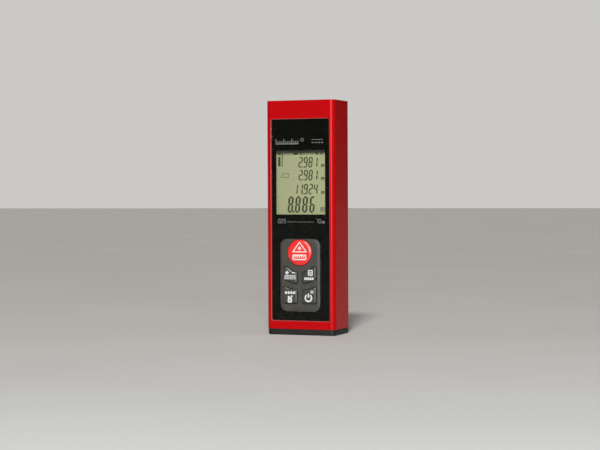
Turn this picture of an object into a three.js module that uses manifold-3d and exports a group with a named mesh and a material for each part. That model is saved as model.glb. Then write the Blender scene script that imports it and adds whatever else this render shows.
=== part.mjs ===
// Pocket laser distance meter: an anodised sleeve with a glossy front window, a keypad,
// a display and a board in front, two AAA cells behind a hinged door, and the measuring
// optics at the top. Millimetres. X runs across, Y from the front face to the back, Z up.

import * as THREE from 'three';
import { mergeVertices } from 'three/addons/utils/BufferGeometryUtils.js';
import Module from 'manifold-3d';

const wasm = await Module();
wasm.setup();

// Driving dimensions. A depth is the distance behind the sleeve's front face.

const body = { width: 37.4, depth: 22.4, height: 120, corner: 2.6, wall: 1.3 };
const capHeight = 3.1;
const capInset = 0.2;
const rearRounding = 2.0;
const keyProud = 1.5;
const slack = 0.1;

const cutout = { half: 15.8, low: 7.4, high: 110.4, corner: 1.0 };
const view = { half: 13.4, low: 61.7, high: 94.6 };
const pad = { half: 10.8, low: 12.1, high: 49.2, corner: 3.6, proud: 0.6 };

const windowDepth = [0.2, 0.7];
const maskDepth = [0.72, 0.84];
const frameDepth = [1.5, 6.3];
const bezelFront = 0.9;
const boardDepth = [6.4, 7.4];
const chassisDepth = [1.5, 20.75];
const doorDepth = [20.9, 22.4];

const measureKey = { z: 42.3, radius: 6.6 };
const keyColumn = { inner: 1.35, outer: 9.05 };
const upperKeys = { near: 10.2, far: 16, peak: 7 };
const lowerKeys = { near: 19.2, low: 16.3 };
const keyFlange = { spread: 0.6, depth: [2.5, 3.2] };
const keyHoleGap = 0.25;
const keyChamfer = 0.4;
const plunger = { radius: 1.5, end: 5.2 };
const domeTop = 5.8;

const bay = { half: 11.4, low: 8.8, high: 60.4, depth: 9.1 };
const cell = { radius: 5.25, body: 43.7, button: 0.8, x: 5.55, depth: 14.6 };
const contactThickness = 0.4;

const door = { half: 12.9, low: 8.6, high: 60.6 };
const doorGap = 0.2;
const hingeHeight = 9.35;

const receiver = { x: -6.6, depth: 12.6, radius: 5.8 };
const emitter = { x: 9.6, depth: 12.6 };

const assembly = new THREE.Group();
assembly.position.y = keyProud - (body.depth + keyProud) / 2;

// Finishes: colour, roughness, metalness.

const anodisedRed = [0xb8121a, 0.34, 0.75];
const blackPlastic = [0x17160f, 0.5, 0];
const glossBlack = [0x0e0e0b, 0.08, 0];
const clearPlastic = [0xd9dcda, 0.05, 0];
const greyRubber = [0x4a4842, 0.75, 0];
const keyGrey = [0x3d3c38, 0.6, 0];
const keyRed = [0xe2322c, 0.45, 0];
const springSteel = [0xb9bcc0, 0.3, 1];
const nickel = [0xc9c8c2, 0.28, 1];
const brass = [0xb79a4e, 0.35, 1];
const circuitGreen = [0x1d5a34, 0.45, 0];
const displayGrey = [0x9b9d78, 0.3, 0];
const whitePlastic = [0xe9e7de, 0.5, 0];
const opticalGlass = [0xdfe8e6, 0.03, 0];
const chipBlack = [0x1b1b1d, 0.6, 0];
const cellJacket = [0x2f6a8f, 0.35, 0.2];

// Outlines and basic solids.

// A closed outline through its corners, anticlockwise; a third number rounds a corner.
function outline(corners) {
  const shape = new THREE.Shape();
  const at = (index) => new THREE.Vector2(...corners.at(index % corners.length).slice(0, 2));
  corners.forEach((corner, index) => {
    const radius = corner[2] ?? 0;
    const tip = at(index);
    const back = at(index - 1).sub(tip).normalize();
    const ahead = at(index + 1).sub(tip).normalize();
    if (!radius) {
      if (index) shape.lineTo(tip.x, tip.y);
      else shape.moveTo(tip.x, tip.y);
      return;
    }
    const half = Math.acos(THREE.MathUtils.clamp(back.dot(ahead), -1, 1)) / 2;
    const toCentre = back.clone().add(ahead).setLength(radius / Math.sin(half));
    const centre = tip.clone().add(toCentre);
    const reach = radius / Math.tan(half);
    const from = tip.clone().addScaledVector(back, reach).sub(centre);
    const to = tip.clone().addScaledVector(ahead, reach).sub(centre);
    const clockwise = from.cross(to) < 0;
    shape.absarc(centre.x, centre.y, radius, from.angle(), to.angle(), clockwise);
  });
  return shape;
}

function rectangle(left, low, right, high, radius = 0) {
  const corners = [[left, low], [right, low], [right, high], [left, high]];
  return outline(corners.map(([u, v]) => [u, v, radius]));
}

const symmetric = (half, low, high, radius) => rectangle(-half, low, half, high, radius);

// A prism on an outline; a chamfer breaks the edges at both ends.
function extruded(shape, length, chamfer = 0) {
  return new THREE.ExtrudeGeometry(shape, {
    depth: length - 2 * chamfer,
    curveSegments: 2,
    bevelEnabled: chamfer > 0,
    bevelSegments: 1,
    bevelThickness: chamfer,
    bevelSize: chamfer,
    bevelOffset: -chamfer,
  }).translate(0, 0, chamfer);
}

// An outline in X and Z, from one depth to another.
function plate(shape, [near, far], chamfer) {
  return extruded(shape, far - near, chamfer).rotateX(Math.PI / 2).translate(0, far, 0);
}

// An outline in X and depth, from one height to another.
function slab(shape, [low, high]) {
  return extruded(shape, high - low).translate(0, 0, low);
}

// An outline in depth and Z, from one X to another.
function bar(shape, [left, right]) {
  const axes = [new THREE.Vector3(0, 1, 0), new THREE.Vector3(0, 0, 1), new THREE.Vector3(1, 0, 0)];
  const turn = new THREE.Matrix4().makeBasis(...axes);
  return extruded(shape, right - left).applyMatrix4(turn).translate(left, 0, 0);
}

function box([left, right], [near, far], [low, high]) {
  const size = [right - left, far - near, high - low];
  const middle = [(left + right) / 2, (near + far) / 2, (low + high) / 2];
  return new THREE.BoxGeometry(...size).translate(...middle);
}

// A round bar across the depth.
function pinY(radius, [near, far], x = 0, z = 0, sides = 24) {
  return new THREE.CylinderGeometry(radius, radius, far - near, sides).translate(x, (near + far) / 2, z);
}

// A solid of revolution about a vertical axis, from a profile of radius and height.
function turned(profile, sides = 24) {
  const points = profile.map(([radius, z]) => new THREE.Vector2(radius, z));
  return new THREE.LatheGeometry(points, sides).rotateX(Math.PI / 2);
}

const post = (radius, [low, high], sides) =>
  turned([[0, low], [radius, low], [radius, high], [0, high]], sides);

// Cutting and joining.

function solid(shape) {
  const bare = shape.clone();
  bare.deleteAttribute('normal');
  bare.deleteAttribute('uv');
  const merged = mergeVertices(bare, 1e-5);
  return new wasm.Manifold(new wasm.Mesh({
    numProp: 3,
    vertProperties: merged.attributes.position.array,
    triVerts: new Uint32Array(merged.index.array),
  }));
}

function surface(manifold) {
  const mesh = manifold.getMesh();
  const geometry = new THREE.BufferGeometry();
  geometry.setAttribute('position', new THREE.BufferAttribute(mesh.vertProperties, 3));
  geometry.setIndex(new THREE.BufferAttribute(mesh.triVerts, 1));
  geometry.computeVertexNormals();
  return geometry;
}

const join = (...shapes) => surface(wasm.Manifold.union(shapes.map(solid)));

const cut = (shape, ...tools) => surface(wasm.Manifold.difference([shape, ...tools].map(solid)));

const common = (...shapes) => surface(wasm.Manifold.intersection(shapes.map(solid)));

function piece(name, geometry, [color, roughness, metalness], x = 0, depth = 0, z = 0) {
  const mesh = new THREE.Mesh(geometry, new THREE.MeshStandardMaterial({ color, roughness, metalness }));
  mesh.name = name;
  mesh.position.set(x, depth, z);
  assembly.add(mesh);
}

// Case: sleeve, end caps and inner chassis.

const section = (inset = 0) =>
  symmetric(body.width / 2 - inset, inset, body.depth - inset, Math.max(body.corner - inset, 1));

function sleeve() {
  const side = outline([
    [0, capHeight], [body.depth, capHeight], [body.depth, body.height, rearRounding], [0, body.height],
  ]);
  const tube = cut(
    slab(section(), [capHeight, body.height]),
    slab(section(body.wall), [capHeight - 1, body.height + 1]),
    plate(symmetric(cutout.half, cutout.low, cutout.high, cutout.corner), [-1, body.wall + 1]),
    plate(symmetric(door.half + doorGap, door.low - doorGap, door.high + doorGap, 0.6),
      [body.depth - body.wall - 1, body.depth + 1]),
  );
  return common(tube, bar(side, [-body.width / 2 - 1, body.width / 2 + 1]));
}

const capScrew = { x: 8, depth: 11.2, head: [1.6, 0.4, 1.6], shank: [0.7, 8.5], recess: [1.9, 1.7] };

function bottomCap() {
  const chamfer = 0.7;
  const rim = slab(section(capInset), [chamfer, capHeight]);
  const foot = slab(section(capInset), [0, chamfer]);
  const corners = foot.attributes.position;
  for (let i = 0; i < corners.count; i += 1) {
    if (corners.getZ(i) > chamfer / 2) continue;
    const middle = body.depth / 2;
    corners.setX(i, corners.getX(i) * (1 - 2 * chamfer / body.width));
    corners.setY(i, middle + (corners.getY(i) - middle) * (1 - 2 * chamfer / body.depth));
  }
  const inset = body.wall + 0.2;
  const plug = slab(section(inset), [capHeight, 7]);
  const hollow = slab(section(inset + 1.3), [capHeight + 1.3, 8]);
  const holes = [-capScrew.x, capScrew.x].flatMap((x) => [
    post(capScrew.recess[0], [-1, capScrew.recess[1]]).translate(x, capScrew.depth, 0),
    post(0.95, [0, 6], 16).translate(x, capScrew.depth, 0),
  ]);
  return cut(join(foot, rim, plug), hollow, ...holes);
}

const topCapHeights = { skirt: 112.9, underside: 117, top: 119.2 };

// A cutter for an aperture that widens towards the top.
const aperture = ([inner, outer], { x, depth }) =>
  turned([[0, 116], [inner, 116], [outer, 120], [0, 120]], 32).translate(x, depth, 0);

function topCap() {
  const inset = body.wall + slack;
  const { skirt, underside, top } = topCapHeights;
  return cut(
    slab(section(inset), [skirt, top]),
    slab(section(inset + 1.5), [skirt - 1, underside]),
    aperture([5.4, 6.0], receiver),
    aperture([2.6, 3.1], emitter),
  );
}

const boardScrews = [[-14.6, 12], [14.6, 12], [-14.6, 54.6], [14.6, 54.6]];
const chassisHeights = [7.2, 111.3];

function chassis() {
  const [front, rear] = chassisDepth;
  const half = body.width / 2 - body.wall - 0.2;
  const inner = half - 0.95;
  const boardSeat = box([-inner, inner], [front - 1, boardDepth[1] + slack], [bay.low, 112]);
  const opticsBay = box([-inner, inner], [front - 1, 19.8], [61.8, 112]);
  const cellBay = box([-bay.half, bay.half], [bay.depth, rear + 1], [bay.low, bay.high]);
  const sideChannels = [[-inner, -12.6], [12.6, inner]];
  const tongueNotches = [[-11.35, -8.2], [8.2, 11.35]];
  return cut(
    slab(symmetric(half, front, rear, 1), chassisHeights),
    boardSeat,
    opticsBay,
    cellBay,
    ...sideChannels.map((across) => box(across, [9, rear + 1], [10, 60])),
    ...tongueNotches.map((across) => box(across, [18.85, rear + 1], [7, bay.low + 1])),
    ...boardScrews.map(([x, z]) => pinY(1.5, [7, 10], x, z, 16)),
    ...[-capScrew.x, capScrew.x].map((x) => post(0.85, [7, 9], 16).translate(x, capScrew.depth, 0)),
  );
}

// Front: window, its printed mask, and the frame that holds display, keypad and board.

const padOutline = (spread) =>
  symmetric(pad.half + spread, pad.low - spread, pad.high + spread, pad.corner + spread);

const windowOutline = () =>
  symmetric(cutout.half - slack, cutout.low + slack, cutout.high - slack, cutout.corner);

const padHole = () => plate(padOutline(0.15), [-5, 5]);

const viewHole = () => plate(symmetric(view.half, view.low, view.high, 0.3), [-5, 5]);

const flange = { half: 12.9, low: 10.4, high: 50.9 };
const display = { half: 14.6, low: 58.4, panel: 60.5, high: 97 };
const displayLip = { depth: [1.9, 2.7], low: 93.1 };

function frontFrame() {
  const [front, back] = frameDepth;
  const through = [bezelFront - 1, back + 1];
  const seatHalf = display.half + 0.2;
  const seatTop = display.high + 0.2;
  const besideLip = [[through[0], displayLip.depth[0]], [displayLip.depth[1], through[1]]];
  return cut(
    join(
      plate(symmetric(16.1, 9, 111, 0.8), frameDepth),
      plate(symmetric(cutout.half - 0.2, 9, cutout.high - 0.2, 0.8), [bezelFront, front + 0.1]),
    ),
    plate(symmetric(flange.half + 0.2, flange.low - 0.2, flange.high + 0.2), [front - 1, back + 1]),
    plate(symmetric(seatHalf, display.low - 0.2, displayLip.low), through),
    ...besideLip.map((depths) => box([-seatHalf, seatHalf], depths, [displayLip.low - 1, seatTop])),
    box([-17, 17], [4, back + 1], [seatTop, 112]),
    ...boardScrews.map(([x, z]) => pinY(0.85, [2.8, back + 1], x, z, 16)),
  );
}

// Keypad: a rubber mat, five keys through it, and a snap dome behind each.

const arcPoints = (radius, fromX, toX, steps = 5) =>
  Array.from({ length: steps + 1 }, (_, i) => {
    const x = fromX + ((toX - fromX) * i) / steps;
    return [x, measureKey.z - Math.sqrt(radius ** 2 - x ** 2)];
  });

// A side key lies between two arcs about the measuring key, or an arc above and a level
// lower edge. Its upper edge may stop at a peak, short of its outer corner.
function keyOutline({ side, near, far, peak }, spread) {
  const inner = keyColumn.inner - spread;
  const outer = keyColumn.outer + spread;
  const round = 0.9 + spread;
  const top = arcPoints(near - spread, peak ?? outer, inner);
  const bottom = far
    ? arcPoints(far + spread, inner, outer)
    : [[inner, lowerKeys.low - spread], [outer, lowerKeys.low - spread]];
  if (peak) top.unshift([outer, top[0][1]]);
  const corners = [bottom, top].flatMap((edge) =>
    edge.map(([x, z], i) => (i === 0 || i === edge.length - 1 ? [x * side, z, round] : [x * side, z])));
  return outline(side < 0 ? corners.reverse() : corners);
}

const keys = [
  { name: 'key_measure', x: 0, z: measureKey.z, finish: keyRed },
  { name: 'key_plus_minus', x: -5.2, z: 31, side: -1, ...upperKeys },
  { name: 'key_reference', x: 5.2, z: 31, side: 1, ...upperKeys },
  { name: 'key_function', x: -5.2, z: 19.7, side: -1, near: lowerKeys.near },
  { name: 'key_power', x: 5.2, z: 19.7, side: 1, near: lowerKeys.near },
];

function keySolid(key, spread, [near, far], chamfer = 0) {
  if (key.side) return plate(keyOutline(key, spread), [near, far], chamfer);
  const radius = measureKey.radius + spread;
  const profile = [[0, 0], [radius, 0], [radius, far - near - chamfer], [radius - chamfer, far - near]];
  return turned([...profile, [0, far - near]], 32).rotateX(Math.PI / 2).translate(key.x, far, key.z);
}

function keypadMat() {
  const rim = plate(symmetric(flange.half, flange.low, flange.high, 1), [bezelFront, 2.4]);
  return cut(
    join(plate(padOutline(0), [-pad.proud, 2.3], 0.3), rim),
    ...keys.map((key) => keySolid(key, keyHoleGap, [-2, 4])),
  );
}

function keyCap(key) {
  return join(
    keySolid(key, 0, [-keyProud, keyFlange.depth[1] - 0.1], keyChamfer),
    keySolid(key, keyFlange.spread, keyFlange.depth),
    pinY(plunger.radius, [keyFlange.depth[1] - 0.1, plunger.end], key.x, key.z, 12),
  );
}

function snapDome(radius) {
  const edge = boardDepth[0] - 0.05;
  const height = edge - domeTop;
  const profile = [
    [0, height - 0.15], [radius * 0.6, height * 0.72 - 0.15], [radius, 0],
    [radius, 0.15], [radius * 0.6, height * 0.72], [0, height],
  ];
  return turned(profile, 16).rotateX(Math.PI / 2).translate(0, edge, 0);
}

// Display stack.

function displayStack() {
  const { half, low, panel, high } = display;
  const across = (inset) => [-half + inset, half - inset];
  piece('lcd_front_glass', box(across(0), [2.8, 3.6], [low, high]), displayGrey);
  piece('lcd_rear_glass', box(across(0), [3.65, 4.4], [panel, high]), displayGrey);
  piece('lcd_diffuser', box(across(0.2), [4.45, 6.2], [panel + 0.1, high - 0.2]), whitePlastic);
  piece('lcd_connector', box(across(1.6), [3.65, 6.35], [low + 0.1, panel - 0.4]), greyRubber);
}

// Board with its chip, piezo sounder and screws.

function board() {
  const holes = boardScrews.map(([x, z]) => pinY(0.95, [5, 9], x, z, 16));
  return cut(plate(symmetric(15.9, 9.2, 95.5, 0.8), boardDepth), ...holes);
}

function boardScrew() {
  const back = boardDepth[1] + 0.05;
  const head = pinY(1.3, [back, back + 0.9], 0, 0, 16);
  const shank = pinY(0.7, [3, back + 0.1], 0, 0, 12);
  return cut(join(head, shank), pinY(0.6, [back + 0.4, back + 2], 0, 0, 6));
}

function verticalScrew() {
  const [radius, low, high] = capScrew.head;
  const [shankRadius, tip] = capScrew.shank;
  const body = join(post(radius, [low, high], 16), post(shankRadius, [high - 0.1, tip], 12));
  return cut(body, post(0.8, [low - 1, low + 0.6], 6));
}

// Power: cells, coil springs and contact plates.

function drycell() {
  const { radius, body: length, button } = cell;
  return turned([
    [0, 0], [radius - 0.4, 0], [radius, 0.4], [radius, length - 0.4], [radius - 0.4, length],
    [1.9, length], [1.9, length + button], [0, length + button],
  ], 20);
}

const springLength = 5.9;
const springTurns = 4.5;
const wireRadius = 0.35;

// A coil that narrows from the contact plate up to the cell.
class Coil extends THREE.Curve {
  getPoint(t) {
    const angle = t * 2 * Math.PI * springTurns;
    const radius = THREE.MathUtils.lerp(3.6, 2.4, t);
    const end = wireRadius + 0.05;
    const z = THREE.MathUtils.lerp(end, springLength - end, t);
    return new THREE.Vector3(radius * Math.cos(angle), radius * Math.sin(angle), z);
  }
}

function coilSpring() {
  const wire = outline([0, 1, 2, 3, 4].map((corner) => {
    const angle = (corner / 5) * 2 * Math.PI;
    return [wireRadius * Math.cos(angle), wireRadius * Math.sin(angle)];
  }));
  return new THREE.ExtrudeGeometry(wire, { steps: 48, bevelEnabled: false, extrudePath: new Coil() });
}

function power() {
  const floor = bay.low + slack;
  const roof = bay.high - slack;
  const plateTop = floor + contactThickness;
  const contact = (half, [low, high]) => box([-half, half], [10.8, 18.4], [low, high]);
  const upper = () => contact(3.8, [roof - contactThickness, roof]);
  piece('contact_bridge', contact(9.6, [floor, plateTop]), nickel);
  piece('contact_positive', upper(), nickel, -cell.x);
  piece('contact_negative', upper(), nickel, cell.x);
  const left = plateTop + springLength + slack;
  piece('spring_left', coilSpring(), springSteel, -cell.x, cell.depth, plateTop);
  piece('battery_left', drycell(), cellJacket, -cell.x, cell.depth, left);
  const right = plateTop + slack + cell.body + cell.button;
  piece('battery_right', drycell().rotateX(Math.PI), cellJacket, cell.x, cell.depth, right);
  const seat = roof - contactThickness;
  piece('spring_right', coilSpring().rotateX(Math.PI), springSteel, cell.x, cell.depth, seat);
}

// Battery door: a rounded lower edge about the hinge line, two tongues and grip grooves.

function batteryDoor() {
  const [inside, outside] = doorDepth;
  const round = hingeHeight - door.low;
  const side = outline([
    [inside, door.low, round - 0.01], [outside, door.low, round - 0.01],
    [outside, door.high, 0.3], [inside, door.high],
  ]);
  const tongues = [[-11.2, -8.4], [8.4, 11.2]].map((across) => box(across, [19.9, inside + 0.2], [7.4, 10]));
  const grooves = [50, 52, 54, 56].map((z) => box([-6, 6], [outside - 0.4, outside + 1], [z, z + 0.9]));
  return cut(join(bar(side, [-door.half, door.half]), ...tongues), ...grooves);
}

// Optics: a block with the receiving cone and the laser tube.

const block = { half: 15.4, low: 66, collar: 97.4, high: 112.4, front: 8.75, back: 19.6 };

function opticsBlock() {
  const across = [-block.half, block.half];
  const receiving = (cutter) => cutter.translate(receiver.x, receiver.depth, 0);
  const emitting = (cutter) => cutter.translate(emitter.x, emitter.depth, 0);
  const lightCone = turned([[0, 72], [0.9, 72], [5, 111], [0, 111]], 32);
  const lensSeat = post(receiver.radius + 0.15, [110.9, 113], 32);
  const detectorSeat = post(2.8, [block.low - 1, 71.4]);
  const pinhole = post(1, [71, 73]);
  const barrelSeat = post(3.8, [87.6, 113]);
  const wireway = post(2.2, [block.low - 1, 88]);
  const gapBetween = box([-2, 4.5], [8, 21], [block.low - 1, 94]);
  return cut(
    join(
      box(across, [block.front, block.back], [block.low, block.high]),
      box(across, [5.4, 9.1], [block.collar, block.high]),
    ),
    ...[lightCone, lensSeat, detectorSeat, pinhole].map(receiving),
    ...[barrelSeat, wireway].map(emitting),
    gapBetween,
  );
}

function receiverLens() {
  const { radius } = receiver;
  const crown = 1.6;
  const edge = 113;
  const sphere = (radius ** 2 + crown ** 2) / (2 * crown);
  const arc = [5, 4, 3, 2, 1].map((step) => {
    const r = (radius * step) / 5;
    return [r, edge + crown - sphere + Math.sqrt(sphere ** 2 - r ** 2)];
  });
  return turned([[0, 111.1], [radius, 111.1], ...arc, [0, edge + crown]], 32);
}

function lensRing() {
  return turned([
    [5.95, 112.6], [6.4, 112.6], [6.4, 115.2], [5.1, 115.2], [5.1, 114.7], [5.95, 114.7], [5.95, 112.6],
  ], 32);
}

function laserBarrel() {
  return turned([
    [2.95, 88], [3.6, 88], [3.6, 115.9], [2.6, 115.9], [2.6, 90.6], [2.95, 90.6], [2.95, 88],
  ]);
}

const leads = (spacing, heights) =>
  [[spacing, 0], [-spacing, 0], [0, spacing]].map(([x, y]) => post(0.25, heights, 8).translate(x, y, 0));

function laserDiode() {
  return join(
    turned([[0, 88.2], [2.8, 88.2], [2.8, 89.4], [2.1, 89.4], [2.1, 92], [0, 92]]),
    ...leads(1, [84, 88.4]),
  );
}

function collimatorLens() {
  return turned([[0, 109], [2.5, 109], [2.5, 110.2], [1.7, 110.9], [0.9, 111.2], [0, 111.3]]);
}

function detector() {
  return join(
    turned([[0, 67.2], [2.6, 67.2], [2.6, 68.2], [2.3, 68.2], [2.3, 71], [0, 71]]),
    ...leads(1.2, [64.3, 67.4]),
  );
}

function optics() {
  piece('optics_block', opticsBlock(), blackPlastic);
  piece('receiver_lens', receiverLens(), opticalGlass, receiver.x, receiver.depth);
  piece('lens_ring', lensRing(), blackPlastic, receiver.x, receiver.depth);
  piece('detector', detector(), nickel, receiver.x, receiver.depth);
  piece('detector_board', box([-14, 1], [8.9, 19], [63.2, 64.2]), circuitGreen);
  piece('laser_barrel', laserBarrel(), brass, emitter.x, emitter.depth);
  piece('laser_diode', laserDiode(), nickel, emitter.x, emitter.depth);
  piece('collimator_lens', collimatorLens(), opticalGlass, emitter.x, emitter.depth);
  piece('emitter_window', post(3.4, [116.05, 116.9]), opticalGlass, emitter.x, emitter.depth);
}

// Assembly.

piece('sleeve', sleeve(), anodisedRed);
piece('bottom_cap', bottomCap(), blackPlastic);
piece('top_cap', topCap(), blackPlastic);
piece('chassis', chassis(), blackPlastic);
piece('front_window', cut(plate(windowOutline(), windowDepth), padHole()), clearPlastic);
piece('window_mask', cut(plate(windowOutline(), maskDepth), padHole(), viewHole()), glossBlack);
piece('front_frame', frontFrame(), blackPlastic);
piece('keypad_mat', keypadMat(), greyRubber);
keys.forEach((key) => {
  piece(key.name, keyCap(key), key.finish ?? keyGrey);
  piece(key.name.replace('key', 'dome'), snapDome(key.finish ? 4 : 3), springSteel, key.x, 0, key.z);
});
displayStack();
piece('main_board', board(), circuitGreen);
boardScrews.forEach(([x, z], i) => piece(`board_screw_${i + 1}`, boardScrew(), nickel, x, 0, z));
piece('main_chip', box([-14, -4], [7.45, 8.6], [76, 86]), chipBlack);
piece('sounder', pinY(5, [7.45, 8.6], 8, 82), brass);
[-capScrew.x, capScrew.x].forEach((x, i) =>
  piece(`cap_screw_${i + 1}`, verticalScrew(), nickel, x, capScrew.depth));
power();
piece('battery_door', batteryDoor(), blackPlastic);
optics();

export default assembly;
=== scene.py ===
"""Looks for a pocket laser distance meter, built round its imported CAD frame."""

import math

import bmesh
import bpy
from mathutils import Matrix, Vector


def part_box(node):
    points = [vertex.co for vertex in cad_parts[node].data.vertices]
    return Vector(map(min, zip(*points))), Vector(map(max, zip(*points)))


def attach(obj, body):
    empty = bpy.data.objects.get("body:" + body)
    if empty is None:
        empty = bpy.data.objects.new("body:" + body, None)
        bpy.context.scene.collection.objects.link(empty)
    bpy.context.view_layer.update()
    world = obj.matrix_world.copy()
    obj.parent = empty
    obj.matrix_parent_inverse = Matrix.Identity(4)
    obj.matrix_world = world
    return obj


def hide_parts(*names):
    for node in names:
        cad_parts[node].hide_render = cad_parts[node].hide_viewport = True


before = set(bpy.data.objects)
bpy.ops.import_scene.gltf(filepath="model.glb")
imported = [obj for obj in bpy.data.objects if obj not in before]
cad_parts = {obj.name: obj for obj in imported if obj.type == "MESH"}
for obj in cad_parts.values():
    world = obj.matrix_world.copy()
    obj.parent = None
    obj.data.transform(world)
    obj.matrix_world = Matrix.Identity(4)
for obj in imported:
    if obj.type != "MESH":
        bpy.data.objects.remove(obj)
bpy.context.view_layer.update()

# Sizes are in millimetres and become metres when a mesh is made.
MM = 0.001


def box_mm(node):
    """The low and high corners of a CAD node's box."""
    low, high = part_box(node)
    return [v / MM for v in low], [v / MM for v in high]


SLEEVE_LOW, SLEEVE_HIGH = box_mm("sleeve")
CAP_TOP = box_mm("bottom_cap")[1][2]
WINDOW_LOW, WINDOW_HIGH = box_mm("front_window")
MASK_LOW, MASK_HIGH = box_mm("window_mask")
MAT_LOW, MAT_HIGH = box_mm("keypad_mat")
DOOR_LOW, DOOR_HIGH = box_mm("battery_door")
TOP_LOW, TOP_HIGH = box_mm("top_cap")
FRONT = SLEEVE_LOW[1]
BACK = SLEEVE_HIGH[1]
HALF_WIDTH = SLEEVE_HIGH[0]
MIDDLE = (FRONT + BACK) / 2

BODY_CORNER = 2.6
WALL = 1.3
WINDOW_GAP = 0.1
CUTOUT = {
    "half": 15.8,
    "low": WINDOW_LOW[2] - WINDOW_GAP,
    "high": WINDOW_HIGH[2] + WINDOW_GAP,
    "corner": 1.0,
}
VIEW = {"half": 13.4, "low": 61.7, "high": 94.6}
PAD = {"half": 10.8, "low": 12.1, "high": 49.2, "corner": 3.6}
PAD_GAP = 0.15
DOOR_FOOT = 8.6
DOOR_OPENING = 0.2
MEASURE = {"z": 42.3, "radius": 6.6}
COLUMN = {"inner": 1.35, "outer": 9.05}
UPPER_KEYS = {"near": 10.2, "far": 16.0, "peak": 7.0}
LOWER_KEYS = {"near": 19.2, "low": 16.3}
RECEIVER_X = -6.6
EMITTER_X = 9.6
OPTICS_DEPTH = 12.6
CELL_X = 5.55
CELL_DEPTH = 14.6

# How far cutting solids run past what they cut.
BEYOND = 1.0


def depth(mm):
    """Y at a depth behind the sleeve's front face."""
    return FRONT + mm


def front_of(node):
    """The depth of a node's front."""
    return box_mm(node)[0][1] - FRONT


def middle_of(node):
    """The X and Y of a node's middle."""
    low, high = box_mm(node)
    return (low[0] + high[0]) / 2, (low[1] + high[1]) / 2


# --- Meshes ---------------------------------------------------------------------------------

PIECES = []


def make_piece(name, rings, material, body="case", replaces=()):
    """Skins closed rings of points, one after another, and caps both ends."""
    mesh = bmesh.new()
    loops = [[mesh.verts.new(Vector(point) * MM) for point in ring] for ring in rings]
    for lower, upper in zip(loops, loops[1:]):
        count = len(lower)
        for i in range(count):
            j = (i + 1) % count
            mesh.faces.new((lower[i], lower[j], upper[j], upper[i]))
    mesh.faces.new(loops[0])
    mesh.faces.new(loops[-1])
    return object_from(mesh, name, material, body, replaces)


def object_from(mesh, name, material, body="case", replaces=()):
    bmesh.ops.recalc_face_normals(mesh, faces=mesh.faces)
    data = bpy.data.meshes.new(name)
    mesh.to_mesh(data)
    mesh.free()
    data.shade_smooth()
    piece = bpy.data.objects.new(name, data)
    bpy.context.scene.collection.objects.link(piece)
    if material:
        data.materials.append(material)
    if body:
        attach(piece, body)
        PIECES.append(piece)
    if replaces:
        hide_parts(*replaces)
    return piece


def settle(piece):
    """Applies the piece's modifiers."""
    graph = bpy.context.evaluated_depsgraph_get()
    shape = bpy.data.meshes.new_from_object(piece.evaluated_get(graph))
    piece.modifiers.clear()
    piece.data = shape


def polish(piece, angle=35):
    """Smooth rounded strips, with the broad faces left flat."""
    piece.data.shade_smooth()
    piece.data.set_sharp_from_angle(angle=math.radians(angle))
    weighted = piece.modifiers.new("normals", "WEIGHTED_NORMAL")
    weighted.weight = 100
    weighted.keep_sharp = True
    settle(piece)


def carve(piece, *tools, operation="DIFFERENCE"):
    for tool in tools:
        cut = piece.modifiers.new("cut", "BOOLEAN")
        cut.operation = operation
        cut.object = tool
        cut.solver = "EXACT"
        cut.material_mode = "TRANSFER"
    settle(piece)
    for tool in tools:
        bpy.data.objects.remove(tool)


def soften(piece, width, segments=3, angle=40, edge_material=None):
    """Rounds the sharp edges; the rounded strips can take a second material."""
    bevel = piece.modifiers.new("bevel", "BEVEL")
    bevel.width = width * MM
    bevel.segments = segments
    bevel.limit_method = "ANGLE"
    bevel.angle_limit = math.radians(angle)
    bevel.harden_normals = True
    if edge_material:
        piece.data.materials.append(edge_material)
        bevel.material = len(piece.data.materials) - 1
    piece.data.shade_smooth()
    settle(piece)


# --- Outlines -------------------------------------------------------------------------------


def rounded(corners, steps=8):
    """A closed outline; each corner is (u, v, radius)."""
    points = []
    for i, (u, v, radius) in enumerate(corners):
        tip = Vector((u, v))
        if not radius:
            points.append((u, v))
            continue
        back = (Vector(corners[i - 1][:2]) - tip).normalized()
        ahead = (Vector(corners[(i + 1) % len(corners)][:2]) - tip).normalized()
        half = back.angle(ahead) / 2
        centre = tip + (back + ahead).normalized() * (radius / math.sin(half))
        first = tip + back * (radius / math.tan(half)) - centre
        sweep = first.angle_signed(tip + ahead * (radius / math.tan(half)) - centre)
        for k in range(steps + 1):
            turned = first.copy()
            turned.rotate(Matrix.Rotation(-sweep * k / steps, 2))
            points.append(tuple(centre + turned))
    return points


def rectangle(left, low, right, high, radius=0.0, steps=8):
    corners = [(left, low), (right, low), (right, high), (left, high)]
    return rounded([(u, v, radius) for u, v in corners], steps)


def circle(x, z, radius, steps=48):
    turn = 2 * math.pi / steps
    return [(x + radius * math.cos(k * turn), z + radius * math.sin(k * turn)) for k in range(steps)]


def at_depth(outline, mm):
    return [(u, depth(mm), v) for u, v in outline]


def at_height(outline, z):
    return [(u, v, z) for u, v in outline]


def front_tool(outline, near, far):
    """A cutting solid through the front, between two depths."""
    return make_piece("tool", [at_depth(outline, near), at_depth(outline, far)], None, body=None)


def level_tool(outline, low, high):
    return make_piece("tool", [at_height(outline, low), at_height(outline, high)], None, body=None)


def eased(outline_at, near, far, radius, steps):
    """Rings of a slab that faces the front, its front edge rounded; outline_at takes an inset."""
    rings = []
    for k in range(steps + 1):
        angle = math.pi / 2 * k / steps
        inset = radius * (1 - math.sin(angle))
        rings.append(at_depth(outline_at(inset), near + radius * (1 - math.cos(angle))))
    rings.append(at_depth(outline_at(0), far))
    return rings


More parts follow.
